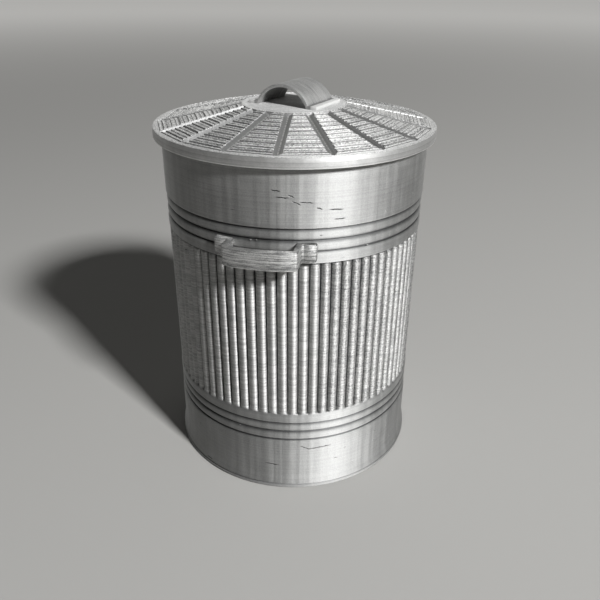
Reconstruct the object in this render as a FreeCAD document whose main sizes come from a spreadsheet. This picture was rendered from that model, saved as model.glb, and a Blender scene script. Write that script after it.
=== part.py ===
import FreeCAD, Part
import os
import Sketcher

doc = FreeCAD.newDocument("desktop_trash_can")

# Driving dimensions: lengths in millimetres, turns in degrees, shares and counts plain
sizes = {
    # Floor disc
    "base_thickness": 1.8,
    "base_ease": 0.5,
    "spigot_height": 1.6,
    "spigot_clearance": 0.15,
    # Wall, from the floor disc up to the rim
    "can_radius": 49.2,
    "band_wall": 3.4,
    "foot_flare": 1.1,
    "foot_flare_height": 5.5,
    "lower_band_height": 21.2,
    "bead_height": 4.0,
    "bead_drop": 0.2,
    "groove_depth": 1.2,
    "shoulder_height": 1.2,
    "shoulder_arc": 90.0,
    "collar_drop": 0.2,
    "lower_collar_height": 4.2,
    "flute_length": 62.2,
    "flute_depth": 1.3,
    "flute_side_rise": 0.35,
    "crest_drop": 0.4,
    "upper_collar_height": 4.1,
    "upper_band_height": 22.5,
    "flute_count": 80,
    "flute_width_share": 0.92,
    "flute_floor_share": 0.12,
    # Side handles
    "handle_gap": 6.05,
    "handle_strap": 2.4,
    "handle_height": 6.6,
    "handle_width": 26.2,
    "handle_rise": 0.3,
    "handle_bend": 1.4,
    "handle_foot_length": 4.25,
    "handle_foot_thickness": 2.0,
    "handle_foot_corner": 1.0,
    "handle_peg_diameter": 2.4,
    "handle_peg_length": 3.0,
    "peg_clearance": 0.1,
    # Lid
    "lid_clearance": 0.8,
    "skirt_thickness": 2.0,
    "skirt_overlap": 1.9,
    "seat_gap": 0.05,
    "seat_width": 5.0,
    "lid_plate": 1.95,
    "panel_margin": 1.7,
    "panel_rise": 6.4,
    "panel_wall": 2.6,
    "hub_radius": 19.1,
    "vee_width": 3.6,
    "vee_depth": 0.6,
    "vee_tip": 2.2,
    "panel_count": 18,
    "lid_turn": -4.5,
    # Lid handle
    "arch_span": 22.0,
    "arch_rise": 7.6,
    "arch_strap": 1.1,
    "arch_width": 18.6,
    "tab_length": 3.0,
    "tab_peg_diameter": 1.8,
    "tab_peg_length": 1.4,
    "tab_peg_spacing": 11.0,
    "arch_turn": -13.8,
    # How far a cut runs past the face that it leaves
    "overrun": 1.0,
}
sheet = doc.addObject("Spreadsheet::Sheet", "sheet")
for row, (alias, size) in enumerate(sizes.items(), start=1):
    sheet.set(f"A{row}", alias)
    sheet.set(f"B{row}", str(size))
    sheet.setAlias(f"B{row}", alias)
doc.recompute()

# Radii and levels that several pieces share, each an expression of the driving dimensions
foot_radius = "(sheet.can_radius + sheet.foot_flare)"
bore_radius = "(sheet.can_radius - sheet.band_wall)"
collar_radius = "(sheet.can_radius - sheet.collar_drop)"
lower_groove = "(sheet.base_thickness + sheet.lower_band_height)"
flute_foot = f"({lower_groove} + 2 * sheet.bead_height + sheet.lower_collar_height)"
flute_head = f"({flute_foot} + sheet.flute_length)"
upper_groove = f"({flute_head} + sheet.upper_collar_height)"
rim_level = f"({upper_groove} + 2 * sheet.bead_height + sheet.upper_band_height)"
handle_level = f"({upper_groove} + sheet.handle_rise)"
peg_offset = "((sheet.handle_width + sheet.handle_foot_length) / 2)"
skirt_level = f"({rim_level} - sheet.skirt_overlap)"
seat_level = f"({rim_level} + sheet.seat_gap)"
panel_foot = f"({seat_level} + sheet.lid_plate)"
hub_level = f"({panel_foot} + sheet.panel_rise)"
skirt_bore = "(sheet.can_radius + sheet.lid_clearance)"
lid_radius = f"({skirt_bore} + sheet.skirt_thickness)"
panel_radius = f"({lid_radius} - sheet.panel_margin)"
tab_reach = "((sheet.arch_span + sheet.tab_length) / 2)"


def value(expression):
    """Number that an expression of the sheet's names gives now."""
    return float(sheet.evalExpression(expression.replace("sheet.", "")))


def on_circle(radius, offset):
    """How far out a circle about the axis lies at a sideways offset from its middle."""
    return f"sqrt({radius}^2 - {offset}^2)"


def arc_rise(radius, chord_squared):
    """Height of an arc over its chord."""
    return f"({radius} - sqrt({radius}^2 - {chord_squared} / 4))"


def origin_feature(body, role):
    return next(feature for feature in body.Origin.OriginFeatures if feature.Role == role)


def start_body(name):
    body = doc.addObject("PartDesign::Body", name)
    body.Label = name
    return body


def start_sketch(body, name, role, level="0"):
    """Empty sketch on one of the body's own origin planes, moved along the plane's normal."""
    sketch = body.newObject("Sketcher::SketchObject", name)
    sketch.AttachmentSupport = [(origin_feature(body, role), "")]
    sketch.MapMode = "FlatFace"
    sketch.setExpression("AttachmentOffset.Base.z", level)
    return sketch


def tie(sketch, constraint, expression):
    index = sketch.addConstraint(constraint)
    sketch.setExpression(f"Constraints[{index}]", expression)


def tie_point(sketch, edge, end, across, up):
    """Ties a point of an edge to two coordinates, each given as an expression."""
    for kind, axis, expression in (("DistanceX", -2, across), ("DistanceY", -1, up)):
        if expression == "0":
            sketch.addConstraint(Sketcher.Constraint("PointOnObject", edge, end, axis))
        else:
            tie(sketch, Sketcher.Constraint(kind, -1, 1, edge, end, value(expression)), expression)


def draw_outline(sketch, corners, rises=None):
    """Closed outline through corners that are pairs of expressions.

    rises gives the height of an arc over its chord for the edges that are arcs, by the number
    of the corner that they start from. A positive rise bulges to the right of the way round.
    """
    rises = rises or {}
    ends = []
    for number, (across, up) in enumerate(corners):
        next_across, next_up = corners[(number + 1) % len(corners)]
        start = FreeCAD.Vector(value(across), value(up), 0)
        finish = FreeCAD.Vector(value(next_across), value(next_up), 0)
        if number not in rises:
            edge = sketch.addGeometry(Part.LineSegment(start, finish))
            ends.append((edge, 1, 2))
            continue
        rise = rises[number]
        side = FreeCAD.Vector(finish.y - start.y, start.x - finish.x, 0).normalize()
        middle = (start + finish) / 2 + side * value(rise)
        edge = sketch.addGeometry(Part.Arc(start, middle, finish))
        first_is_start = sketch.getPoint(edge, 1).distanceToPoint(start) < start.distanceToPoint(finish) / 2
        ends.append((edge, 1, 2) if first_is_start else (edge, 2, 1))
        chord_squared = f"((({next_across}) - ({across}))^2 + (({next_up}) - ({up}))^2)"
        radius = f"({chord_squared} / 4 + ({rise})^2) / (2 * abs({rise}))"
        tie(sketch, Sketcher.Constraint("Radius", edge, value(radius)), radius)
    for number, (across, up) in enumerate(corners):
        edge, start_end, _ = ends[number]
        last_edge, _, last_end = ends[number - 1]
        sketch.addConstraint(Sketcher.Constraint("Coincident", last_edge, last_end, edge, start_end))
        tie_point(sketch, edge, start_end, across, up)


def draw_circle(sketch, radius, across="0", up="0"):
    middle = FreeCAD.Vector(value(across), value(up), 0)
    edge = sketch.addGeometry(Part.Circle(middle, FreeCAD.Vector(0, 0, 1), value(radius)))
    tie(sketch, Sketcher.Constraint("Radius", edge, value(radius)), radius)
    tie_point(sketch, edge, 3, across, up)


def finish_feature(feature, before):
    """Recomputes, and stops where a cut has taken nothing away."""
    doc.recompute()
    if feature.TypeId in ("PartDesign::Pocket", "PartDesign::Groove", "PartDesign::SubtractiveLoft"):
        if not feature.Shape.Volume < before.Shape.Volume:
            raise RuntimeError(f"{feature.Name} cuts nothing")
    return feature


def add_length(body, kind, name, sketch, length, backwards=False):
    """Pad or pocket of a sketch over a length."""
    before = body.Tip
    feature = body.newObject(f"PartDesign::{kind}", name)
    feature.Profile = sketch
    feature.setExpression("Length", length)
    feature.Reversed = backwards
    return finish_feature(feature, before)


def add_turn(body, kind, name, sketch):
    """Full turn of a sketch about the upright axis, added or cut away."""
    before = body.Tip
    feature = body.newObject(f"PartDesign::{kind}", name)
    feature.Profile = sketch
    feature.ReferenceAxis = (sketch, ["V_Axis"])
    feature.Angle = 360
    return finish_feature(feature, before)


def add_loft(body, kind, name, sections):
    """Straight-sided solid through closed sections, added or cut away."""
    before = body.Tip
    feature = body.newObject(f"PartDesign::{kind}", name)
    feature.Profile = sections[0]
    feature.Sections = sections[1:]
    feature.Ruled = True
    return finish_feature(feature, before)


def add_round(body, name, original, count):
    """Copies of a feature, evenly spaced round the upright axis."""
    pattern = body.newObject("PartDesign::PolarPattern", name)
    pattern.Originals = [original]
    pattern.Axis = (origin_feature(body, "Z_Axis"), [""])
    pattern.Angle = 360
    pattern.setExpression("Occurrences", count)
    body.Tip = pattern
    doc.recompute()
    return pattern


def round_edges(body, name, base, wanted, radius):
    """Fillet on the edges whose two ends pass a test."""
    edges = []
    for number, edge in enumerate(base.Shape.Edges, start=1):
        near = edge.Length / 100
        if wanted(edge.firstVertex().Point, edge.lastVertex().Point, near):
            edges.append(f"Edge{number}")
    rounding = body.newObject("PartDesign::Fillet", name)
    rounding.Base = (base, edges)
    rounding.setExpression("Radius", radius)
    doc.recompute()
    return rounding


def turn_body(body, angle):
    body.Placement = FreeCAD.Placement(FreeCAD.Vector(), FreeCAD.Rotation(FreeCAD.Vector(0, 0, 1), 1))
    body.setExpression("Placement.Rotation.Angle", angle)


def make_base_plate():
    """Floor disc under the wall, with a spigot that centres the wall."""
    body = start_body("base_plate")
    spigot_radius = f"({bore_radius} - sheet.spigot_clearance)"
    floor_level = "(sheet.base_thickness + sheet.spigot_height)"
    profile = start_sketch(body, "base_profile", "XZ_Plane")
    draw_outline(profile, [
        ("0", "0"),
        (f"{foot_radius} - sheet.base_ease", "0"),
        (foot_radius, "sheet.base_ease"),
        (foot_radius, "sheet.base_thickness"),
        (spigot_radius, "sheet.base_thickness"),
        (spigot_radius, floor_level),
        ("0", floor_level),
    ])
    add_turn(body, "Revolution", "base_turned", profile)
    return body


def make_can_wall():
    """Straight wall: flared foot, two beads, collar, upright ribs, collar, two beads, plain band."""
    body = start_body("can_wall")
    groove_radius = "(sheet.can_radius - sheet.groove_depth)"
    crest_radius = "(sheet.can_radius - sheet.crest_drop)"
    bead_rise = "(sheet.groove_depth - sheet.bead_drop)"
    flare_chord = "(sheet.foot_flare^2 + sheet.foot_flare_height^2)"
    flare_radius = f"({flare_chord} / (2 * sheet.foot_flare))"
    band_chord = "(sheet.groove_depth^2 + sheet.shoulder_height^2)"
    collar_chord = "((sheet.groove_depth - sheet.collar_drop)^2 + sheet.shoulder_height^2)"
    band_shoulder = f"(sqrt({band_chord}) * tan(sheet.shoulder_arc / 4) / 2)"
    collar_shoulder = f"(sqrt({collar_chord}) * tan(sheet.shoulder_arc / 4) / 2)"
    profile = start_sketch(body, "wall_profile", "XZ_Plane")
    draw_outline(profile, [
        (foot_radius, "sheet.base_thickness"),
        ("sheet.can_radius", "sheet.base_thickness + sheet.foot_flare_height"),
        ("sheet.can_radius", f"{lower_groove} - sheet.shoulder_height"),
        (groove_radius, lower_groove),
        (groove_radius, f"{lower_groove} + sheet.bead_height"),
        (groove_radius, f"{lower_groove} + 2 * sheet.bead_height"),
        (collar_radius, f"{lower_groove} + 2 * sheet.bead_height + sheet.shoulder_height"),
        (collar_radius, flute_foot),
        (crest_radius, flute_foot),
        (crest_radius, flute_head),
        (collar_radius, flute_head),
        (collar_radius, f"{upper_groove} - sheet.shoulder_height"),
        (groove_radius, upper_groove),
        (groove_radius, f"{upper_groove} + sheet.bead_height"),
        (groove_radius, f"{upper_groove} + 2 * sheet.bead_height"),
        ("sheet.can_radius", f"{upper_groove} + 2 * sheet.bead_height + sheet.shoulder_height"),
        ("sheet.can_radius", rim_level),
        (bore_radius, rim_level),
        (bore_radius, "sheet.base_thickness"),
    ], {
        0: f"-{arc_rise(flare_radius, flare_chord)}",
        2: band_shoulder,
        3: bead_rise,
        4: bead_rise,
        5: collar_shoulder,
        11: collar_shoulder,
        12: bead_rise,
        13: bead_rise,
        14: band_shoulder,
    })
    add_turn(body, "Revolution", "wall_turned", profile)

    # Straight holes for the pegs of both side handles
    pegs = start_sketch(body, "peg_holes", "XZ_Plane", "sheet.can_radius + sheet.overrun")
    for offset in (peg_offset, f"-{peg_offset}"):
        draw_circle(pegs, "sheet.handle_peg_diameter / 2 + sheet.peg_clearance", offset, handle_level)
    add_length(body, "Pocket", "peg_bores", pegs, "2 * (sheet.can_radius + sheet.overrun)")

    # One round-sided groove between two ribs, cut down from the upper collar and copied round
    half_angle = "(180 / sheet.flute_count * sheet.flute_width_share)"
    half_width = f"({crest_radius} * sin({half_angle}))"
    edge_reach = f"({crest_radius} * cos({half_angle}))"
    floor_width = f"({half_width} * sheet.flute_floor_share)"
    floor_reach = f"({crest_radius} - sheet.flute_depth)"
    outer_reach = f"({crest_radius} + sheet.overrun)"
    flute = start_sketch(body, "flute_section", "XY_Plane", flute_head)
    draw_outline(flute, [
        (outer_reach, f"-{half_width}"),
        (outer_reach, half_width),
        (edge_reach, half_width),
        (floor_reach, floor_width),
        (floor_reach, f"-{floor_width}"),
        (edge_reach, f"-{half_width}"),
    ], {2: "-sheet.flute_side_rise", 4: "-sheet.flute_side_rise"})
    first_flute = add_length(body, "Pocket", "first_flute", flute, "sheet.flute_length")
    add_round(body, "flutes", first_flute, "sheet.flute_count")
    return body


def make_side_handle(name, turn):
    """Bent strap: two foot plates on the wall, two straight legs and a grip that follows the wall."""
    body = start_body(name)
    face_radius = f"({collar_radius} + sheet.handle_foot_thickness)"
    grip_inside = "(sheet.can_radius + sheet.handle_gap)"
    grip_outside = f"({grip_inside} + sheet.handle_strap)"
    leg_outside = "(sheet.handle_width / 2)"
    leg_inside = f"({leg_outside} - sheet.handle_strap)"
    foot_end = f"({leg_outside} + sheet.handle_foot_length)"

    def corner(side, offset, radius):
        return f"{side}{offset}", f"-{on_circle(radius, offset)}"

    def foot_arc(radius, near, far):
        depth = f"({on_circle(radius, near)} - {on_circle(radius, far)})"
        return arc_rise(radius, f"(({far} - {near})^2 + {depth}^2)")

    plan = start_sketch(body, f"{name}_plan", "XY_Plane", f"{handle_level} - sheet.handle_height / 2")
    draw_outline(plan, [
        corner("", foot_end, collar_radius),
        corner("", leg_inside, collar_radius),
        corner("", leg_inside, grip_inside),
        corner("-", leg_inside, grip_inside),
        corner("-", leg_inside, collar_radius),
        corner("-", foot_end, collar_radius),
        corner("-", foot_end, face_radius),
        corner("-", leg_outside, face_radius),
        corner("-", leg_outside, grip_outside),
        corner("", leg_outside, grip_outside),
        corner("", leg_outside, face_radius),
        corner("", foot_end, face_radius),
    ], {
        0: f"-{foot_arc(collar_radius, leg_inside, foot_end)}",
        2: f"-{arc_rise(grip_inside, f'(2 * {leg_inside})^2')}",
        4: f"-{foot_arc(collar_radius, leg_inside, foot_end)}",
        6: foot_arc(face_radius, leg_outside, foot_end),
        8: arc_rise(grip_outside, f"(2 * {leg_outside})^2"),
        10: foot_arc(face_radius, leg_outside, foot_end),
    })
    strap = add_length(body, "Pad", f"{name}_strap", plan, "sheet.handle_height")

    # Rounded bends at the ends of the grip and rounded outer corners of the foot plates
    bend_y = -value(on_circle(grip_outside, leg_outside))
    foot_x = value(foot_end)

    def at_bend(first, last, near):
        return abs(first.x - last.x) < near and max(abs(first.y - bend_y), abs(last.y - bend_y)) < near

    def at_foot_corner(first, last, near):
        return abs(first.z - last.z) < near and min(abs(first.x), abs(last.x)) > foot_x - near

    round_edges(body, f"{name}_bends", strap, at_bend, "sheet.handle_bend")
    round_edges(body, f"{name}_corners", body.Tip, at_foot_corner, "sheet.handle_foot_corner")

    # A peg behind each foot plate
    root = on_circle(f"({collar_radius} + sheet.handle_foot_thickness / 2)", peg_offset)
    back = on_circle(collar_radius, peg_offset)
    pegs = start_sketch(body, f"{name}_peg_section", "XZ_Plane", root)
    for offset in (peg_offset, f"-{peg_offset}"):
        draw_circle(pegs, "sheet.handle_peg_diameter / 2", offset, handle_level)
    reach = f"{root} - {back} + sheet.handle_peg_length"
    body.Tip = add_length(body, "Pad", f"{name}_pegs", pegs, reach, backwards=True)
    turn_body(body, turn)
    return body


def panel_corners(radius, count):
    """Corners of the many-sided outline of the panels, evenly spaced on a circle."""
    turns = [f"({step} * 360 / sheet.panel_count)" for step in range(count)]
    return [(f"{radius} * cos{turn}", f"{radius} * sin{turn}") for turn in turns]


def make_lid_pan():
    """Lid with a skirt round the rim, flat sloping panels, grooves between them and a flat hub."""
    body = start_body("lid_pan")
    count = round(value("sheet.panel_count"))
    plate = start_sketch(body, "plate_circle", "XY_Plane", skirt_level)
    draw_circle(plate, lid_radius)
    add_length(body, "Pad", "plate", plate, f"{panel_foot} - {skirt_level}")

    hub_corner_radius = "(sheet.hub_radius / cos(180 / sheet.panel_count))"
    lower = start_sketch(body, "panel_feet", "XY_Plane", panel_foot)
    draw_outline(lower, panel_corners(panel_radius, count))
    upper = start_sketch(body, "panel_heads", "XY_Plane", hub_level)
    draw_outline(upper, panel_corners(hub_corner_radius, count))
    add_loft(body, "AdditiveLoft", "panels", [lower, upper])

    below = f"({skirt_level} - sheet.overrun)"
    seat_inside = f"({skirt_bore} - sheet.seat_width)"
    hollow_level = f"({hub_level} - sheet.panel_wall)"
    hollow = start_sketch(body, "hollow_profile", "XZ_Plane")
    draw_outline(hollow, [
        ("0", below),
        (skirt_bore, below),
        (skirt_bore, seat_level),
        (seat_inside, seat_level),
        ("sheet.hub_radius", hollow_level),
        ("0", hollow_level),
    ])
    add_turn(body, "Groove", "hollow", hollow)

    # V-shaped groove along a ridge, of one depth from the hub outwards and closing to a tip at the rim
    ridge_run = f"({panel_radius} - {hub_corner_radius})"
    tip_level = f"({panel_foot} + sheet.panel_rise * sheet.vee_tip / {ridge_run})"
    flank = "(sheet.vee_width / 2 + sheet.overrun)"
    flank_rise = f"({flank} * 2 * sheet.vee_depth / sheet.vee_width)"
    sections = []
    for name, reach, valley in (
        ("vee_start", hub_corner_radius, f"({hub_level} - sheet.vee_depth)"),
        ("vee_middle", f"({panel_radius} - sheet.vee_tip)", f"({tip_level} - sheet.vee_depth)"),
        ("vee_end", panel_radius, panel_foot),
    ):
        section = start_sketch(body, name, "YZ_Plane", reach)
        brow = f"{valley} + {flank_rise}"
        draw_outline(section, [("0", valley), (flank, brow), (f"-{flank}", brow)])
        sections.append(section)
    first_vee = add_loft(body, "SubtractiveLoft", "first_vee", sections)
    add_round(body, "vees", first_vee, "sheet.panel_count")

    # Blind holes in the hub for the pegs of the handle
    pegs = start_sketch(body, "tab_peg_holes", "XY_Plane", hub_level)
    for end in ("", "-"):
        for side in ("", "-"):
            along = f"({end}{tab_reach})"
            aside = f"({side}sheet.tab_peg_spacing / 2)"
            across = f"{along} * cos(sheet.arch_turn) - {aside} * sin(sheet.arch_turn)"
            up = f"{along} * sin(sheet.arch_turn) + {aside} * cos(sheet.arch_turn)"
            draw_circle(pegs, "sheet.tab_peg_diameter / 2 + sheet.peg_clearance", across, up)
    depth = "sheet.tab_peg_length + sheet.peg_clearance"
    body.Tip = add_length(body, "Pocket", "tab_peg_bores", pegs, depth)
    turn_body(body, "sheet.lid_turn")
    return body


def make_lid_handle():
    """Thin wide strap arched over the hub, with a flat tab at each end and pegs under the tabs."""
    body = start_body("lid_handle")
    arch_radius = "(((sheet.arch_span / 2)^2 + sheet.arch_rise^2) / (2 * sheet.arch_rise))"
    inner_radius = f"({arch_radius} - sheet.arch_strap)"
    middle_drop = f"({arch_radius} - sheet.arch_rise)"
    outer_foot = on_circle(arch_radius, f"({middle_drop} + sheet.arch_strap)")
    inner_foot = on_circle(inner_radius, middle_drop)
    tab_end = "(sheet.arch_span / 2 + sheet.tab_length)"
    tab_top = f"({hub_level} + sheet.arch_strap)"
    rise = "(sheet.arch_rise - sheet.arch_strap)"
    side = start_sketch(body, "arch_side", "XZ_Plane", "-sheet.arch_width / 2")
    draw_outline(side, [
        (tab_end, hub_level),
        (tab_end, tab_top),
        (outer_foot, tab_top),
        (f"-{outer_foot}", tab_top),
        (f"-{tab_end}", tab_top),
        (f"-{tab_end}", hub_level),
        (f"-{inner_foot}", hub_level),
        (inner_foot, hub_level),
    ], {2: rise, 6: f"-{rise}"})
    add_length(body, "Pad", "arch", side, "sheet.arch_width")
    pegs = start_sketch(body, "tab_peg_section", "XY_Plane", f"{hub_level} + sheet.arch_strap / 2")
    for end in ("", "-"):
        for aside in ("sheet.tab_peg_spacing / 2", "-sheet.tab_peg_spacing / 2"):
            draw_circle(pegs, "sheet.tab_peg_diameter / 2", f"{end}{tab_reach}", aside)
    depth = "sheet.arch_strap / 2 + sheet.tab_peg_length"
    body.Tip = add_length(body, "Pad", "tab_pegs", pegs, depth, backwards=True)
    turn_body(body, "sheet.lid_turn + sheet.arch_turn")
    return body


pieces = [
    make_base_plate(),
    make_can_wall(),
    make_side_handle("side_handle_front", "0"),
    make_side_handle("side_handle_rear", "180"),
    make_lid_pan(),
    make_lid_handle(),
]
doc.recompute()

# Nothing is written unless every object is sound
for item in doc.Objects:
    if "Invalid" in item.State or "Error" in item.State:
        raise RuntimeError(f"{item.Name} failed: {item.State}")
for piece in pieces:
    shape = piece.Shape
    if shape.isNull() or not shape.isValid() or len(shape.Solids) != 1:
        raise RuntimeError(f"{piece.Label} is not one sound solid")

os.makedirs("parts", exist_ok=True)
for piece in pieces:
    piece.Shape.exportStep(f"parts/{piece.Label}.step")
    box = piece.Shape.optimalBoundingBox()
    print(
        f"{piece.Label}: volume {piece.Shape.Volume:.1f},"
        f" x {box.XMin:.2f} to {box.XMax:.2f},"
        f" y {box.YMin:.2f} to {box.YMax:.2f},"
        f" z {box.ZMin:.2f} to {box.ZMax:.2f}"
    )
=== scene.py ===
import math

import bmesh
import bpy
from mathutils import Matrix, Vector
from mathutils.kdtree import KDTree


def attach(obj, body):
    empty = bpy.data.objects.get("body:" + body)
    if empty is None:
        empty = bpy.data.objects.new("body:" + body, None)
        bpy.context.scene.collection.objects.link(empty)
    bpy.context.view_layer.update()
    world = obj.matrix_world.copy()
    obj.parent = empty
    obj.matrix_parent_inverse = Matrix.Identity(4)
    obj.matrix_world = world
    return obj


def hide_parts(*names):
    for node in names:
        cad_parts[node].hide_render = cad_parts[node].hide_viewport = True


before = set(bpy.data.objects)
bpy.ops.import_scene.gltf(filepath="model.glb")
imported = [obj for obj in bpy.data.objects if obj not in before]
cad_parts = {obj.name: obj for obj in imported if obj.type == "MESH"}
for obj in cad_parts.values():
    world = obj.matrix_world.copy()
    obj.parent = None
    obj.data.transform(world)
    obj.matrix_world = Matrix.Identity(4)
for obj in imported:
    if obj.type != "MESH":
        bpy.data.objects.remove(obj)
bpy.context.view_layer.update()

# Floor disc. A printed round plate that closes the can from below, glued to the foot of the wall.
# Its edge is the thin slab under the fine dark seam round the foot, and a spigot inside the wall
# centres it.
mm = 0.001


def start_line(name, point):
    """New object in edit mode that holds one point, left of a plane merged to its middle."""
    bpy.ops.object.select_all(action="DESELECT")
    bpy.ops.mesh.primitive_plane_add(size=mm, location=(0, 0, 0))
    piece = bpy.context.object
    piece.name = name
    piece.data.name = name
    bpy.ops.object.mode_set(mode="EDIT")
    bpy.ops.mesh.select_all(action="SELECT")
    bpy.ops.mesh.merge(type="CENTER")
    bpy.ops.transform.translate(value=Vector(point) * mm)
    return piece


def draw_on(points):
    """Extrudes the last point of a line on through the points of a path, given in millimetres."""
    for start, finish in zip(points, points[1:]):
        step = (Vector(finish) - Vector(start)) * mm
        bpy.ops.mesh.extrude_region_move(TRANSFORM_OT_translate={"value": step})


def turn_round(steps, angle=math.tau, copies=False):
    """Spins what is selected round the upright axis."""
    bpy.ops.mesh.spin(steps=steps, angle=angle, dupli=copies, center=(0, 0, 0), axis=(0, 0, 1))


def close_mesh(smooth_angle):
    """Merges doubles, turns the faces outwards and leaves edit mode with smooth shading."""
    bpy.ops.mesh.select_all(action="SELECT")
    bpy.ops.mesh.remove_doubles(threshold=0.002 * mm)
    bpy.ops.mesh.normals_make_consistent(inside=False)
    bpy.ops.object.mode_set(mode="OBJECT")
    bpy.ops.object.shade_smooth_by_angle(angle=math.radians(smooth_angle))


class Wire:
    """A socket of a material's nodes. Arithmetic on it adds Math nodes."""

    def __init__(self, tree, socket=None):
        self.tree = tree
        self.socket = socket

    def node(self, kind, settings, sockets, output=0):
        """Adds a node: its settings first, then the values or links of its sockets."""
        made = self.tree.nodes.new(kind)
        for name, setting in settings.items():
            setattr(made, name, setting)
        for name, given in sockets.items():
            if isinstance(given, Wire):
                self.tree.links.new(given.socket, made.inputs[name])
            else:
                made.inputs[name].default_value = given
        return Wire(self.tree, made.outputs[output])

    def math(self, operation, *values):
        return self.node("ShaderNodeMath", {"operation": operation}, dict(enumerate(values)))

    def __add__(self, other):
        return self.math("ADD", self, other)

    __radd__ = __add__

    def __sub__(self, other):
        return self.math("SUBTRACT", self, other)

    def __rsub__(self, other):
        return self.math("SUBTRACT", other, self)

    def __mul__(self, other):
        return self.math("MULTIPLY", self, other)

    __rmul__ = __mul__

    def __truediv__(self, other):
        return self.math("DIVIDE", self, other)

    def __rtruediv__(self, other):
        return self.math("DIVIDE", other, self)

    def floor(self):
        return self.math("FLOOR", self)

    def size(self):
        return self.math("ABSOLUTE", self)

    def root(self):
        return self.math("SQRT", self)

    def courses(self, thread):
        """Number of the thread of filament at a place, and the place across it from -1 to 1."""
        number = (self / thread).floor()
        return number, (self / thread - number) * 2 - 1

    def clear_to(self, low, high, from_low, from_high):
        """Maps a range onto another, smoothly and without running past its ends."""
        return self.node(
            "ShaderNodeMapRange", {"interpolation_type": "SMOOTHSTEP"},
            {"Value": self, "From Min": from_low, "From Max": from_high, "To Min": low, "To Max": high})

    def speckle(self, scale, detail=2.0, roughness=0.5):
        """Noise on a place that is given as a vector."""
        return self.node(
            "ShaderNodeTexNoise", {"noise_dimensions": "3D"},
            {"Vector": self, "Scale": scale, "Detail": detail, "Roughness": roughness})

    def chance(self):
        """One random number for each whole number."""
        return self.node("ShaderNodeTexWhiteNoise", {"noise_dimensions": "1D"}, {"W": self})

    def vector(self, across, along, up):
        return self.node("ShaderNodeCombineXYZ", {}, {"X": across, "Y": along, "Z": up})


def silver_print(name, roughness, metallic, streak, streak_turn=0.0):
    """Silver filament: a grey plastic filled with fine metal flakes, with a drawn-out sheen.

    Gives the material, its shader, the place on the piece in millimetres and its three parts.
    """
    material = bpy.data.materials.new(name)
    material.use_nodes = True
    tree = material.node_tree
    finish = tree.nodes["Principled BSDF"]
    finish.inputs["Metallic"].default_value = metallic
    finish.inputs["Roughness"].default_value = roughness
    finish.inputs["Anisotropic"].default_value = streak
    finish.inputs["Anisotropic Rotation"].default_value = streak_turn
    start = Wire(tree).node("ShaderNodeTexCoord", {}, {}, "Object")
    place = start.node("ShaderNodeVectorMath", {"operation": "SCALE"}, {0: start, "Scale": 1 / mm})
    parts = [place.node("ShaderNodeSeparateXYZ", {}, {0: place}, axis) for axis in range(3)]
    return material, finish, place, parts


def finish_print(finish, colour, roughness, height, depth):
    """Feeds a colour, a roughness and a height in millimetres to the shader of a print."""
    tree = colour.tree
    tree.links.new(colour.socket, finish.inputs["Base Color"])
    tree.links.new(roughness.socket, finish.inputs["Roughness"])
    bump = height.node("ShaderNodeBump", {}, {"Strength": 1.0, "Distance": depth * mm, "Height": height})
    tree.links.new(bump.socket, finish.inputs["Normal"])


def shade_of(value, dark, light):
    """A colour between two greys of the filament."""
    return value.node(
        "ShaderNodeMix", {"data_type": "RGBA", "clamp_factor": True},
        {0: value, 6: dark, 7: light}, 2)


base_outline = [
    (0.0, 0, 0.0), (49.2, 0, 0.0), (49.8, 0, 0.06), (50.12, 0, 0.26), (50.25, 0, 0.55),
    (50.25, 0, 1.15), (50.1, 0, 1.34), (49.0, 0, 1.4), (48.9, 0, 1.7), (45.65, 0, 1.72), (45.65, 0, 3.15),
    (45.5, 0, 3.35), (45.2, 0, 3.4), (0.0, 0, 3.4),
]
base_plate = start_line("base_disc", base_outline[0])
draw_on(base_outline)
bpy.ops.mesh.select_all(action="SELECT")
turn_round(192)
close_mesh(35)

# Finish of the disc: level courses at its edge, straight lines of filament on its flat faces
layer = 0.312
floor_thread = 0.6
base_silver, finish, place, (x, y, z) = silver_print("base_disc_silver", 0.7, 0.9, 0.7, 0.25)
course, within = z.courses(layer)
line, across = (x + y).courses(floor_thread)
luck = course.chance() + line.chance()
grain = place.speckle(2.5, 2.0)
colour = shade_of(0.2 + 0.2 * luck + 0.3 * grain, (0.3, 0.303, 0.303, 1), (0.53, 0.53, 0.522, 1))
rough = 0.66 + 0.05 * luck + 0.08 * grain
height = 0.4 * (1 - within * within) + 0.3 * (1 - across * across) + 0.2 * grain
finish_print(finish, colour, rough, height, 0.05)
base_plate.data.materials.clear()
base_plate.data.materials.append(base_silver)
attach(base_plate, "can")
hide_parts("base_plate")

# Wall of the can. One straight printed tube: a flared foot, two rounded beads, a zone of 80
# upright half-round ribs between two collars, two more beads and a plain band up to the rim.
# It stands on the floor disc and is glued to it.
rib_count = 80
rib_foot = 35.2
rib_head = 97.4
rib_crest = 48.8
rib_floor = 47.0
band_radius = 49.2
collar_radius = 49.0
bore_radius = 45.8
rim_level = 132.0
flare_radius = 14.3
flare_top = 7.3
bead_radius = 2.5
bead_middle = 46.5
notch_brim = 48.1
notch_floor = 47.2
notch_half = 0.2
valley_end = 2.3
rib_cap = 2.0


def arc_points(middle, radius, start, finish, count):
    """Points of an arc in the upright plane, angles in degrees from the outward direction."""
    angles = [math.radians(start + (finish - start) * i / count) for i in range(count + 1)]
    return [(middle[0] + radius[0] * math.cos(a), 0, middle[1] + radius[1] * math.sin(a)) for a in angles]


def bead(level):
    """The round face of the bead that starts at a level."""
    return arc_points((bead_middle, level + 2.0), (bead_radius, bead_radius), -45, 45, 8)


def notch(level):
    """The sharp line where two beads meet."""
    return [(notch_brim, 0, level - notch_half), (notch_floor, 0, level), (notch_brim, 0, level + notch_half)]


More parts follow.
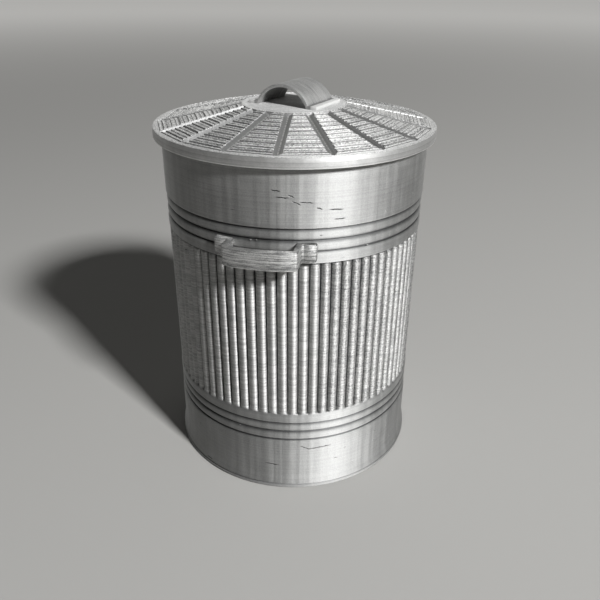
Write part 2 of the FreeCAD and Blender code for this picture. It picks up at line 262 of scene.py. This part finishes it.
rib_levels = [35.35, 35.55, 35.85, 36.25, 36.8, 37.5, 50.0, 66.0, 82.0, 95.6, 96.1, 96.5, 96.85, 97.1, 97.28]
flare = [
    (band_radius + flare_radius - math.sqrt(flare_radius ** 2 - (flare_top - z) ** 2), 0, z)
    for z in (2.2, 2.8, 3.6, 4.5, 5.5, 6.5, flare_top)
]
wall_outline = [(bore_radius, 0, 1.8), (band_radius, 0, 1.82), (49.85, 0, 1.9), (50.06, 0, 2.02)]
wall_outline += flare
wall_outline += [(band_radius, 0, 14.0)]
wall_outline += arc_points((48.0, 21.8), (1.2, 1.2), 0, 55, 5)
wall_outline += notch(23.0) + bead(23.0) + notch(27.0) + bead(27.0) + notch(31.0)
wall_outline += arc_points((48.0, 32.2), (1.0, 1.2), -55, 0, 5)
wall_outline += [(collar_radius, 0, 34.7), (48.95, 0, 35.0), (rib_crest, 0, rib_foot)]
wall_outline += [(rib_crest, 0, z) for z in rib_levels]
wall_outline += [(rib_floor, 0, rib_head), (48.75, 0, 97.42), (48.95, 0, 97.55), (collar_radius, 0, 97.8)]
wall_outline += arc_points((48.0, 100.3), (1.0, 1.2), 0, 55, 5)
wall_outline += notch(101.5) + bead(101.5) + notch(105.5) + bead(105.5) + notch(109.5)
wall_outline += arc_points((48.0, 110.7), (1.2, 1.2), -55, 0, 5)
wall_outline += [(band_radius, 0, 121.0), (band_radius, 0, 131.6), (49.05, 0, 131.9), (48.8, 0, rim_level)]
wall_outline += [(46.2, 0, rim_level), (45.95, 0, 131.9)]
wall_outline += [(bore_radius, 0, level) for level in (131.6, 60.0, 1.8)]

# One pitch of the wall: columns close together at the valleys, wider over the rib
pitch = 360 / rib_count
shares = [-0.5, -0.455, -0.38, -0.22, 0.0, 0.22, 0.38, 0.455, 0.5]
can_wall = start_line("can_wall_ribbed", wall_outline[0])
draw_on(wall_outline)
bpy.ops.mesh.select_all(action="SELECT")
for share, following in zip(shares, shares[1:]):
    turn_round(1, math.radians(pitch * (following - share)))


def pick(piece, wanted):
    """Selects, in edit mode, the points whose place in millimetres passes a test."""
    mesh = bmesh.from_edit_mesh(piece.data)
    for face in mesh.faces:
        face.select = False
    for edge in mesh.edges:
        edge.select = False
    for point in mesh.verts:
        point.select = bool(wanted(point.co / mm))
    mesh.select_flush_mode()
    bmesh.update_edit_mesh(piece.data)


def rib_radius(share, level):
    """How far out the wall lies across a rib, with the valley ends and the rib tops rounded off."""
    across = min(1.0, abs(share) / 0.49)
    round_side = math.sqrt(max(0.0, 1 - across ** 2.2))
    depth = rib_crest - rib_floor
    foot = min(1.0, (level - rib_foot) / valley_end)
    valley = 1 - (1 - round_side) * math.sqrt(1 - (1 - foot) ** 2)
    head = max(0.0, (level - rib_head + rib_cap) / rib_cap)
    return rib_floor + depth * valley * math.sqrt(max(0.0, 1 - head ** 2.4))


mesh = bmesh.from_edit_mesh(can_wall.data)
turns = sorted({round(math.degrees(math.atan2(point.co.y, point.co.x)), 4) for point in mesh.verts})
for turn in turns:
    share = (abs(turn) / pitch) - 0.5
    for level in rib_levels:
        def on_rib(place):
            angle = math.degrees(math.atan2(place.y, place.x))
            return abs(angle - turn) < 0.01 and abs(place.z - level) < 0.01 and place.xy.length > rib_floor
        pick(can_wall, on_rib)
        scale = rib_radius(share, level) / rib_crest
        bpy.ops.transform.resize(value=(scale, scale, 1), center_override=(0, 0, 0))
bpy.ops.mesh.select_all(action="SELECT")
turn_round(rib_count - 1, math.radians(pitch * (rib_count - 1)), copies=True)
close_mesh(32)

# Small blobs of filament left on the wall where the print head stopped: angle and level of each
blobs = [
    (-16.1, 117.3), (-21.1, 114.8), (-39.8, 112.4), (-18.0, 107.8), (-31.9, 103.9), (-43.8, 99.1),
    (-95.4, 105.3), (-93.0, 105.5), (-48.1, 101.8), (-41.5, 17.9), (-36.8, 17.9), (-27.1, 16.1),
    (-37.0, 13.3), (-22.8, 8.4), (-14.1, 10.2), (-53.9, 16.3), (-49.6, 7.1), (-62.0, 32.6), (-103.3, 27.1),
    (24.0, 116.0), (61.0, 14.5), (98.0, 119.5), (137.0, 104.2), (171.0, 12.0), (212.0, 118.2), (230.0, 16.8),
]
blob_radius = 0.24
bead_face = 48.95
beads_from, beads_to = 22, 111
bpy.ops.object.mode_set(mode="EDIT")
for turn, level in blobs:
    bpy.ops.mesh.select_all(action="DESELECT")
    radius = bead_face if beads_from <= level <= beads_to else band_radius
    turn = math.radians(turn)
    bpy.ops.mesh.primitive_ico_sphere_add(
        subdivisions=2, radius=blob_radius * mm, scale=(0.8, 1.7, 0.8), rotation=(0, 0, turn),
        location=Vector((radius * math.cos(turn), radius * math.sin(turn), level)) * mm)
bpy.ops.object.mode_set(mode="OBJECT")
bpy.ops.object.shade_smooth_by_angle(angle=math.radians(32))

# Cracks where two courses have not quite joined: angle, level, half length and slope of each
cracks = [
    (-85.3, 122.6, 1.8, -0.14), (-82.9, 120.4, 2.5, -0.05), (-79.7, 120.9, 1.2, -0.38),
    (-77.6, 118.6, 1.7, -0.48), (-73.9, 118.8, 2.7, -0.08), (-69.0, 116.7, 1.1, -0.24),
    (-62.5, 116.1, 2.9, -0.05), (-61.0, 112.8, 2.3, -0.01), (-73.0, 19.5, 2.4, -0.44),
    (-66.4, 19.2, 5.4, 0.06), (-88.3, 11.0, 3.2, -0.08),
    (38.0, 119.0, 2.6, 0.1), (121.0, 15.0, 3.0, -0.2), (164.0, 121.5, 2.2, 0.05),
]

# Finish of the wall: level courses of filament, each a little different, faint upright stripes,
# the dark cracks, painted shade in the rib valleys and in the creases between the beads, and rough
# specks on the ribs at one side
wall_silver, finish, place, (x, y, z) = silver_print("can_wall_silver", 0.75, 0.95, 0.8, 0.25)
angle = y.math("ARCTAN2", y, x)
around = angle * collar_radius
course, within = z.courses(layer)
round_course = (1 - within * within).root()
luck = course.chance()
stripe = place.vector(around * 0.36, z * 0.01, 3.0).speckle(1.0, 2.0).clear_to(0, 1, 0.3, 0.7)
cloud = place.speckle(0.12, 3.0)
grain = place.speckle(2.5, 2.0)
out = (x * x + y * y).root()
gap = place.vector(around * 0.13, course * 5.3, 7.0).speckle(1.0, 1.5)
gaps = gap.clear_to(0, 1, 0.77, 0.81)
wobble = place.speckle(0.8, 1.0) - 0.5
for turn, level, half, slope in cracks:
    aside = around - math.radians(turn) * collar_radius
    off = z - level - slope * aside - 0.5 * wobble
    line = aside.size().clear_to(1, 0, 0.4 * half, half)
    gaps = gaps + line * off.size().clear_to(1, 0, 0.08, 0.28)
gaps = gaps * out.clear_to(0, 1, 48.0, 48.9)
ribbed = z.clear_to(0, 1, rib_foot - 0.5, rib_foot + 1) * z.clear_to(1, 0, rib_head - 1, rib_head)
rib_number = (angle * rib_count / math.tau).floor()
tick = (course * 97 + rib_number).chance()
knurl = place.vector(x * 2.0, y * 2.0, z * 1.6).speckle(1.0, 1.0).clear_to(0, 1, 0.36, 0.64)
coarse_side = (angle + 0.45).size().clear_to(1, 0.15, 0.55, 0.85)
knurls = ribbed * coarse_side * knurl
tone = 0.55 + 0.12 * (luck - 0.5) + 0.15 * (stripe - 0.5) + 0.25 * (cloud - 0.5) + 0.4 * (grain - 0.5)
# Painted shade: the valleys between the ribs are painted darker, down towards near black, where shade falls
# between the ribs
valley = ribbed * out.clear_to(1, 0, rib_floor, rib_floor + 1.1)
# Painted shade: the creases between the beads, and the bead flanks next to them, are painted darker
between_beads = out.clear_to(1, 0, 47.9, 48.95) * out.clear_to(0, 1, 46.6, 46.9)
bead_crease_shade = (1 - ribbed) * between_beads * z.clear_to(1, 0, 120.0, 125.0)
tone = tone + ribbed * (0.2 + 0.5 * (tick - 0.5) - 0.35 * coarse_side) + 0.5 * knurls
tone = tone - 0.9 * valley - 1.0 * bead_crease_shade
colour = shade_of(tone, (0.24, 0.243, 0.243, 1), (0.66, 0.66, 0.65, 1))
colour = shade_of(gaps + 0.6 * valley + 0.35 * bead_crease_shade, colour, (0.06, 0.06, 0.06, 1))
rough = 0.75 + 0.03 * (luck - 0.5) + 0.08 * (stripe - 0.5) + 0.1 * (cloud - 0.5) + 0.1 * gaps
height = 0.4 * round_course + 0.15 * luck + 0.2 * grain + 0.7 * stripe
height = height + ribbed * (0.6 * tick + 0.4 * round_course) + 1.0 * knurls - 1.2 * gaps
finish_print(finish, colour, rough, height, 0.06)
can_wall.data.materials.clear()
can_wall.data.materials.append(wall_silver)
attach(can_wall, "can")
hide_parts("can_wall")

# Side handles. Each is one printed strap: two foot plates on the upper collar, two straight legs
# and a grip that follows the round of the wall. A hidden peg behind each foot sits in the wall.
grip_radius = 57.65
foot_radius = 51.0
leg = 13.1
foot_start = 14.5
foot_end = 17.35
foot_corner = 0.9
seat_radius = 48.85
strap = 2.3
strap_edge = 0.28
handle_low = 98.5
handle_height = 6.6


def round_corner(corner, before, after, radius, count):
    """Points of a rounded corner between two straight runs of a path."""
    corner, before, after = Vector(corner), Vector(before), Vector(after)
    inward = (before - corner).normalized()
    outward = (after - corner).normalized()
    half = inward.angle(outward) / 2
    middle = corner + (inward + outward).normalized() * radius / math.sin(half)
    first = corner + inward * radius / math.tan(half) - middle
    last = corner + outward * radius / math.tan(half) - middle
    return [middle + first.slerp(last, i / count) for i in range(count + 1)]


def on_wall(radius, across):
    """A point at the strap's lower edge, by its distance from the axis and its place across."""
    return (across, -math.sqrt(radius ** 2 - across ** 2), handle_low)


def round_edges(piece, width):
    """Rounds the sharp edges of a strap by a width in millimetres and shades it smooth."""
    soft = piece.modifiers.new("edges", "BEVEL")
    soft.width = width * mm
    soft.segments = 2
    soft.limit_method = "ANGLE"
    soft.angle_limit = math.radians(50)
    bpy.ops.object.modifier_apply(modifier=soft.name)
    bpy.ops.object.shade_smooth_by_angle(angle=math.radians(35))


path = [on_wall(foot_radius, foot_end), on_wall(foot_radius, 15.9), on_wall(foot_radius, foot_start)]
path += round_corner(
    on_wall(foot_radius, leg), on_wall(foot_radius, foot_start), on_wall(grip_radius, leg), 0.35, 3)
path += round_corner(
    on_wall(grip_radius, leg), on_wall(foot_radius, leg), on_wall(grip_radius, 10.0), 1.5, 6)
path += [on_wall(grip_radius, across) for across in (9.0, 6.0, 3.0)]
path = [Vector(point) for point in path]
path += [Vector(on_wall(grip_radius, 0))] + [Vector((-p.x, p.y, p.z)) for p in reversed(path)]
inner_leg = leg - strap
inner = [on_wall(seat_radius, across) for across in (-foot_end, -foot_start, -inner_leg)]
inner_stops = (-inner_leg, -8.0, -5.0, -2.5, 0, 2.5, 5.0, 8.0, inner_leg)
inner += [on_wall(grip_radius - strap, across) for across in inner_stops]
inner += [on_wall(seat_radius, across) for across in (inner_leg, foot_start, foot_end)]
outline = path + [Vector(point) for point in inner]
handle = start_line("side_handle_strap_front", outline[0])
draw_on(outline)
bpy.ops.mesh.select_all(action="SELECT")
bpy.ops.mesh.edge_face_add()
bpy.ops.mesh.extrude_region_move(TRANSFORM_OT_translate={"value": (0, 0, handle_height * mm)})
bpy.ops.mesh.select_all(action="SELECT")
bpy.ops.mesh.normals_make_consistent(inside=False)
for side in (-1, 1):
    for level in (handle_low, handle_low + handle_height):
        pick(handle, lambda place: place.x * side > foot_end - 0.05 and abs(place.z - level) < 0.05)
        bpy.ops.mesh.bevel(offset=foot_corner * mm, offset_type="OFFSET", segments=4, affect="EDGES")
bpy.ops.object.mode_set(mode="OBJECT")
round_edges(handle, strap_edge)
bpy.ops.object.duplicate(linked=False)
rear_handle = bpy.context.object
rear_handle.name = "side_handle_strap_rear"
rear_handle.data.name = "side_handle_strap_rear"
bpy.ops.object.mode_set(mode="EDIT")
bpy.ops.mesh.select_all(action="SELECT")
bpy.ops.transform.rotate(value=math.pi, orient_axis="Z", center_override=(0, 0, 0))
bpy.ops.object.mode_set(mode="OBJECT")

# Finish of the straps: level courses that wander a little, with a rough grain
strap_silver, finish, place, (x, y, z) = silver_print("side_handle_silver", 0.55, 0.8, 0.5, 0.25)
wander = z + 0.25 * (place.speckle(0.5, 1.0) - 0.5)
course, within = wander.courses(layer)
luck = course.chance()
grain = place.speckle(3.0, 2.0)
streak = place.vector(x * 0.25, y * 0.25, z * 2.6).speckle(1.0, 2.0)
tone = 0.55 + 0.8 * (luck - 0.5) + 1.4 * (grain - 0.5) + 2.0 * (streak - 0.5)
colour = shade_of(tone, (0.2, 0.202, 0.202, 1), (0.64, 0.64, 0.63, 1))
rough = 0.55 + 0.08 * (luck - 0.5) + 0.2 * (grain - 0.5)
height = 0.7 * (1 - within * within) + 0.5 * luck + 0.8 * grain + 1.2 * streak
finish_print(finish, colour, rough, height, 0.06)
for piece, node in ((handle, "side_handle_front"), (rear_handle, "side_handle_rear")):
    piece.data.materials.clear()
    piece.data.materials.append(strap_silver)
    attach(piece, "can")
    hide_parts(node)

# Lid. One printed pan: a short skirt that drops over the rim, a narrow flat edge, 18 flat panels
# that rise to a flat hub in layers like shallow stairs, and a V-shaped groove between each two
# panels. It lies loose on the rim of the can.
panel_count = 18
lid_turn = math.radians(-4.5)
sector = math.tau / panel_count
hub_level = 140.4
hub_reach = 19.1
edge_level = 133.88
skirt_foot = 130.1
panel_slope = 0.2102
groove_half = 1.62
groove_depth = 0.9
brim_drop = 0.12
brim_inset = 0.12
panel_inset = 0.05
tip_depth = 0.45
groove_tip = 50.5
groove_point = 2.2
panel_thread = 0.42
groove_thread = 0.4

lid_outline = [
    (0.0, 0, 137.8), (hub_reach, 0, 137.8), (45.0, 0, 132.05), (49.75, 0, 132.05), (50.0, 0, 131.9),
    (50.0, 0, 130.35), (50.2, 0, 130.12), (51.6, 0, skirt_foot), (51.9, 0, 130.25), (52.0, 0, 130.5),
    (52.0, 0, 133.45), (51.93, 0, 133.7), (51.75, 0, 133.84), (51.4, 0, edge_level),
]
lid_pan = start_line("lid_stepped_pan", lid_outline[0])
draw_on(lid_outline)
bpy.ops.mesh.select_all(action="SELECT")
turn_round(180)
bpy.ops.mesh.select_all(action="SELECT")
bpy.ops.mesh.remove_doubles(threshold=0.002 * mm)
bpy.ops.object.mode_set(mode="OBJECT")


def panel_level(reach):
    """Height of the panels' even slope, without its steps."""
    return hub_level - (reach - hub_reach) * panel_slope


def beside(reach, aside, level):
    """A point of a panel's level line, at a distance from the middle of the groove beside it."""
    return Vector(((reach - aside * math.sin(sector / 2)) / math.cos(sector / 2), aside, level))


def layer_outline(reach, level, groove_reach, depth):
    """One course over one sector: valley, smooth brim of the groove, stepped panel edge, and back."""
    brim = panel_level(groove_reach) - brim_drop if depth else hub_level
    brim = max(edge_level, brim)
    deep = max(edge_level - tip_depth, brim - depth)
    half = groove_half * min(1, (groove_tip - groove_reach) / groove_point)
    near = [
        beside(groove_reach, 0, deep),
        beside(groove_reach, half - brim_inset, brim),
        beside(reach, half + panel_inset, level),
    ]
    far = [Matrix.Rotation(sector, 3, "Z") @ Vector((p.x, -p.y, p.z)) for p in reversed(near)]
    return [Matrix.Rotation(lid_turn, 3, "Z") @ point for point in near + far]


# Courses of the panels: a low step and a high step by turns, and a last step down to the flat edge.
# Each course ends in a thread that stands a little proud and overhangs the course below.
low_step, high_step = 0.18, 0.44
pair_count = 10
pair_pitch = 2.97
steps = []
for pair in range(pair_count):
    steps += [(19.985 + pair_pitch * pair, low_step), (21.47 + pair_pitch * pair, high_step)]
steps.append((49.6, hub_level - edge_level - pair_count * (low_step + high_step)))

# Edge of a course: shift outwards, share of the step, lift, and shift of the groove beside it
course_edge = (
    (-0.72, 0.0, 0.0, -0.72), (-0.58, 0.0, -0.05, -0.55), (-0.38, 0.0, 0.08, -0.4), (-0.14, 0.0, 0.07, -0.25),
    (-0.02, 0.2, 0.0, -0.1), (0.03, 0.45, 0.0, 0.0), (-0.08, 0.75, 0.0, 0.1), (-0.3, 1.0, 0.0, 0.2),
)
rows = [layer_outline(hub_reach + 0.05, hub_level, hub_reach + 0.05, 0)]
top = hub_level
for reach, drop in steps:
    for shift, share, lift, groove_shift in course_edge:
        level = top - drop * share + lift
        rows.append(layer_outline(reach + shift, level, reach + groove_shift, groove_depth))
    top -= drop
columns = list(zip(*rows))
panels = start_line("lid_panels", columns[0][0])
draw_on(columns[0])
for column in columns[1:]:
    bpy.ops.mesh.select_all(action="DESELECT")
    bpy.ops.mesh.primitive_plane_add(size=mm, location=(0, 0, 0))
    bpy.ops.mesh.merge(type="CENTER")
    bpy.ops.transform.translate(value=column[0] * mm)
    draw_on(column)
for left, right in zip(columns, columns[1:]):
    stems = KDTree(2 * len(rows))
    for number, point in enumerate(left + right):
        stems.insert(point, number)
    stems.balance()
    pick(panels, lambda place: stems.find(place)[2] < 0.004)
    bpy.ops.mesh.bridge_edge_loops()

# Pointed outer end of the groove: from each panel corner to a tip on the flat edge
for ends, angle in (((0, 1, 2), lid_turn), ((5, 4, 3), lid_turn + sector)):
    tip = Vector((groove_tip * math.cos(angle), groove_tip * math.sin(angle), edge_level))
    valley, wall, corner = (rows[-1][i] for i in ends)
    pick(panels, lambda place: (place - valley).length < 0.02)
    bpy.ops.mesh.extrude_region_move(TRANSFORM_OT_translate={"value": (tip - valley) * mm})
    pick(panels, lambda place: min((place - p).length for p in (tip, valley, wall, corner)) < 0.02)
    bpy.ops.mesh.edge_face_add()
bpy.ops.mesh.select_all(action="SELECT")
turn_round(panel_count - 1, sector * (panel_count - 1), copies=True)
bpy.ops.mesh.select_all(action="SELECT")
bpy.ops.mesh.remove_doubles(threshold=0.01 * mm)
mesh = bmesh.from_edit_mesh(panels.data)
for edge in mesh.edges:
    edge.select = edge.is_boundary and all(point.co.z > (hub_level - 0.05) * mm for point in edge.verts)
bmesh.update_edit_mesh(panels.data)
bpy.ops.mesh.edge_face_add()
bpy.ops.object.mode_set(mode="OBJECT")
lid_pan.select_set(True)
bpy.context.view_layer.objects.active = lid_pan
bpy.ops.object.join()
bpy.ops.object.mode_set(mode="EDIT")
mesh = bmesh.from_edit_mesh(lid_pan.data)
for face in mesh.faces:
    face.select = False
for edge in mesh.edges:
    edge.select = edge.is_boundary
bmesh.update_edit_mesh(lid_pan.data)
bpy.ops.mesh.bridge_edge_loops()
close_mesh(28)

# Finish of the lid: lines of filament along the panels' edges with bright dashes, level courses on
# the skirt, a smooth hub, and painted shade on the upright face under the edge of each course
lid_silver, finish, place, (x, y, z) = silver_print("lid_silver_courses", 0.65, 0.7, 0.55, 0.25)
angle = (y.math("ARCTAN2", y, x) - lid_turn) / sector
aside = (angle - angle.floor() - 0.5) * sector
out = (x * x + y * y).root()
reach = out * aside.math("COSINE", aside)
along = out * aside.math("SINE", aside)
line, within = reach.courses(panel_thread)
course, within_course = z.courses(layer)
normal = place.node("ShaderNodeNewGeometry", {}, {}, "Normal")
flat = normal.node("ShaderNodeSeparateXYZ", {}, {0: normal}, 2).clear_to(0, 1, 0.6, 0.9)
hub = out.clear_to(1, 0, hub_reach - 0.5, hub_reach + 0.1)
hub = hub * z.clear_to(0, 1, hub_level - 0.2, hub_level - 0.05)
# Painted shade: the upright faces above the flat edge are painted darker, as under the overhanging lip of
# each course
riser_shade = (1 - flat) * z.clear_to(0, 1, edge_level - 0.02, edge_level + 0.1)
skirt = (1 - flat) * z.clear_to(1, 0, edge_level - 0.05, edge_level + 0.02)
lip = skirt * z.clear_to(1, 0, skirt_foot + 0.1, skirt_foot + 0.6)
ridge = flat * (1 - within * within) + (1 - flat) * (1 - within_course * within_course)
luck = line.chance() * flat + course.chance() * (1 - flat)
dash = place.vector(reach * 2.4, along * 1.3, z * 2.4).speckle(1.0, 1.0).clear_to(0, 1, 0.34, 0.66)
grain = place.speckle(2.8, 2.0).clear_to(0, 1, 0.34, 0.66)
cloud = place.speckle(0.2, 3.0)
rugged = (0.15 + 0.85 * flat) * (1 - 0.8 * hub) * out.clear_to(1, 0.35, 49.0, 50.0)
tone = 0.8 + rugged * (0.8 * (luck - 0.5) + 0.75 * (grain - 0.5) + 0.9 * (dash - 0.5)) + 0.3 * (cloud - 0.5)
tone = tone + 0.2 * (luck - 0.5) * skirt - 0.31 * hub - 0.33 * skirt + 0.5 * lip - 0.6 * riser_shade
colour = shade_of(tone, (0.14, 0.141, 0.141, 1), (0.93, 0.93, 0.92, 1))
rough = 0.65 + 0.05 * (luck - 0.5) + 0.2 * rugged * (grain - 0.5) - 0.05 * skirt
height = (0.45 * ridge + 0.3 * luck) * (1 - hub) + rugged * (0.6 * grain + 0.5 * dash)
finish_print(finish, colour, rough, height, 0.06)
metal = 0.7 - 0.55 * hub + 0.25 * skirt
place.tree.links.new(metal.socket, finish.inputs["Metallic"])

# Finish of the groove walls: smooth, their threads run along the groove and not across it
groove_silver, finish, place, (x, y, z) = silver_print("lid_groove_silver", 0.6, 0.85, 0.8, 0.0)
angle = (y.math("ARCTAN2", y, x) - lid_turn) / sector + 0.5
aside = (angle - angle.floor() - 0.5) * sector
out = (x * x + y * y).root()
across = out * aside.math("SINE", aside)
thread, within = across.courses(groove_thread)
grain = place.speckle(2.0, 2.0)
# Painted highlight: brighter dashes along the bottom of each groove, where the crease and the blobs on it
# catch the light
dots = place.vector(out * 1.2, 3.0, 7.0).speckle(1.0, 0.0)
valley = across.size().clear_to(1, 0, 0.12, 0.3) * dots.clear_to(0, 1, 0.4, 0.55)
tone = 0.42 + 0.3 * (thread.chance() - 0.5) + 0.5 * (grain - 0.5) + 0.8 * valley
colour = shade_of(tone, (0.3, 0.302, 0.302, 1), (0.76, 0.76, 0.75, 1))
rough = 0.6 + 0.15 * (grain - 0.5)
height = 0.4 * (1 - within * within) + 0.3 * grain
finish_print(finish, colour, rough, height, 0.05)
lid_pan.data.materials.clear()
lid_pan.data.materials.append(lid_silver)
lid_pan.data.materials.append(groove_silver)
bpy.ops.object.mode_set(mode="EDIT")
mesh = bmesh.from_edit_mesh(lid_pan.data)
for face in mesh.faces:
    middle = face.calc_center_median() / mm
    turn = (math.atan2(middle.y, middle.x) - lid_turn) / sector
    off_line = (turn - round(turn)) * sector * middle.xy.length
    face.select = (
        abs(off_line) < groove_half - 0.2 and hub_reach + 0.1 < middle.xy.length < groove_tip
        and middle.z > edge_level - 0.5 and face.normal.z > 0.5 and middle.z < hub_level - 0.02
    )
bmesh.update_edit_mesh(lid_pan.data)
lid_pan.active_material_index = 1
bpy.ops.object.material_slot_assign()
bpy.ops.object.mode_set(mode="OBJECT")
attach(lid_pan, "lid")
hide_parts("lid_pan")

# Lid handle. A thin wide strap printed lying on its side and arched over the hub, with a short
# flat tab at each end. Pegs under the tabs sit in the hub, and the tabs are glued down.
arch_turn = math.radians(-18.3)
arch_width = 18.6
arch_top = 148.0
tab_level = 141.5
tab_start = 12.4
tab_end = 14.0
arch_half = 11.0
arch_rise = 7.6
arch_thickness = 1.1
arch_edge = 0.16
arch_steps = 14
arch_rows = 30
arch_radius = (arch_half ** 2 + arch_rise ** 2) / (2 * arch_rise)
foot_angle = math.acos((arch_radius - (arch_top - tab_level)) / arch_radius)
arch = [(tab_end, 0, tab_level), (tab_start, 0, tab_level)]
arch += [
    (arch_radius * math.sin(foot_angle * (1 - i / arch_steps)), 0,
     arch_top - arch_radius + arch_radius * math.cos(foot_angle * (1 - i / arch_steps)))
    for i in range(2 * arch_steps + 1)
]
arch += [(-tab_start, 0, tab_level), (-tab_end, 0, tab_level)]
arch = [Vector(point) - Vector((0, arch_width / 2, 0)) for point in arch]
lid_handle = start_line("lid_handle_arch", arch[0])
draw_on(arch)
bpy.ops.mesh.select_all(action="SELECT")
for row in range(arch_rows):
    bpy.ops.mesh.extrude_region_move(TRANSFORM_OT_translate={"value": (0, arch_width / arch_rows * mm, 0)})
bpy.ops.mesh.select_all(action="SELECT")
bpy.ops.mesh.normals_make_consistent(inside=False)
bpy.ops.transform.rotate(value=-arch_turn, orient_axis="Z", center_override=(0, 0, 0))
bpy.ops.object.mode_set(mode="OBJECT")
solid = lid_handle.modifiers.new("strap", "SOLIDIFY")
solid.thickness = arch_thickness * mm
solid.offset = -1
solid.use_even_offset = True
bpy.ops.object.modifier_apply(modifier=solid.name)
round_edges(lid_handle, arch_edge)

# Finish of the arch: courses that run along it, because it was printed lying on its side
arch_silver, finish, place, (x, y, z) = silver_print("lid_handle_silver", 0.5, 0.8, 0.0)
width = y * math.cos(arch_turn) - x * math.sin(arch_turn)
length = x * math.cos(arch_turn) + y * math.sin(arch_turn)
course, within = width.courses(layer)
luck = course.chance()
streak = place.vector(width * 2.2, length * 0.2, z * 0.2).speckle(1.0, 2.0)
grain = place.speckle(3.0, 2.0)
from_middle = length.size()
# Painted highlight on both end tabs, which are painted lighter and, below, made less metallic; painted shade
# on the feet of the arch where it rises from the tabs
tab = from_middle.clear_to(0, 1, 11.5, 11.9)
foot = from_middle.clear_to(0, 1, 10.0, 10.8) * (1 - tab)
tone = 0.55 + 0.5 * (luck - 0.5) + 1.2 * (streak - 0.5) + 0.8 * (grain - 0.5) + 0.8 * tab - 0.35 * foot
colour = shade_of(tone, (0.22, 0.222, 0.222, 1), (0.58, 0.58, 0.57, 1))
rough = 0.5 + 0.1 * (luck - 0.5) + 0.15 * (streak - 0.5)
height = 0.5 * (1 - within * within) + 0.35 * luck + 0.5 * streak + 0.3 * grain
finish_print(finish, colour, rough, height, 0.07)
metal = 0.8 - 0.7 * tab
place.tree.links.new(metal.socket, finish.inputs["Metallic"])
lid_handle.data.materials.clear()
lid_handle.data.materials.append(arch_silver)
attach(lid_handle, "lid")
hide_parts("lid_handle")

# Table and light. A wide pale floor that grows paler far away, one soft key light from the right
# and a weak surround with a soft glow behind the can. The floor is darker to scattered light than
# to the camera and to reflections.
floor_grey = (0.36, 0.356, 0.345, 1)
scattered_grey = (0.1, 0.1, 0.097, 1)
bpy.ops.object.select_all(action="DESELECT")
bpy.ops.mesh.primitive_plane_add(size=60, location=(0, 0, 0))
floor = bpy.context.object
floor.name = "floor"
paint = bpy.data.materials.new("floor_paint")
paint.use_nodes = True
tree = paint.node_tree
finish = tree.nodes["Principled BSDF"]
finish.inputs["Roughness"].default_value = 0.9
finish.inputs["Specular IOR Level"].default_value = 0.0
finish.inputs["Emission Strength"].default_value = 1.0
shown = Wire(tree).node("ShaderNodeLightPath", {}, {}, "Is Camera Ray")
for kind in ("Is Glossy Ray", "Is Transmission Ray"):
    shown = shown.math("MAXIMUM", shown, shown.node("ShaderNodeLightPath", {}, {}, kind))
floor_colour = shade_of(shown, scattered_grey, floor_grey)
tree.links.new(floor_colour.socket, finish.inputs["Base Color"])
spot = Wire(tree).node("ShaderNodeTexCoord", {}, {}, "Object")
distance = spot.node("ShaderNodeVectorMath", {"operation": "LENGTH"}, {0: spot}, 1)
far_glow = shade_of(shown * distance.clear_to(0, 1, 0.3, 3.0), (0, 0, 0, 1), floor_grey)
tree.links.new(far_glow.socket, finish.inputs["Emission Color"])
floor.data.materials.append(paint)

to_light = Vector((0.633, -0.504, 0.588))
light_distance = 2.4
light_aim = Vector((0, 0, 0.07))
bpy.ops.object.light_add(type="AREA", location=to_light * light_distance + light_aim)
key = bpy.context.object
key.name = "key_light"
key.data.size = 0.3
key.data.energy = 100
key.rotation_euler = to_light.to_track_quat("Z", "Y").to_euler()

world = bpy.data.worlds.new("surround")
bpy.context.scene.world = world
world.use_nodes = True
back = world.node_tree.nodes["Background"]
back.inputs["Color"].default_value = (0.8, 0.8, 0.78, 1)
way = Wire(world.node_tree).node("ShaderNodeTexCoord", {}, {}, "Generated")
glow_way = (-0.19, 0.98, 0.0)
behind = way.node("ShaderNodeVectorMath", {"operation": "DOT_PRODUCT"}, {0: way, 1: glow_way}, 1)
rise = way.node("ShaderNodeSeparateXYZ", {}, {0: way}, 2)
strength = 0.05 + behind.clear_to(0, 1.1, 0.2, 0.95) * rise.clear_to(1, 0.35, 0.15, 0.45)
world.node_tree.links.new(strength.socket, back.inputs["Strength"])

# Camera at the photograph's place and angle, in millimetres and degrees
camera_place = Vector((48.8, -235.7, 185.1))
camera_turn, camera_tilt, camera_roll = 11.1, 62.24, 0.48
camera_data = bpy.data.cameras.new("photo_camera")
camera_data.sensor_width = 36
camera_data.lens = 38.244
camera = bpy.data.objects.new("photo_camera", camera_data)
bpy.context.scene.collection.objects.link(camera)
camera.matrix_world = Matrix.Translation(camera_place * mm) @ (
    Matrix.Rotation(math.radians(camera_turn), 4, "Z")
    @ Matrix.Rotation(math.radians(camera_tilt), 4, "X")
    @ Matrix.Rotation(math.radians(camera_roll), 4, "Z")
)
bpy.context.scene.camera = camera
bpy.context.scene.view_settings.view_transform = "Standard"
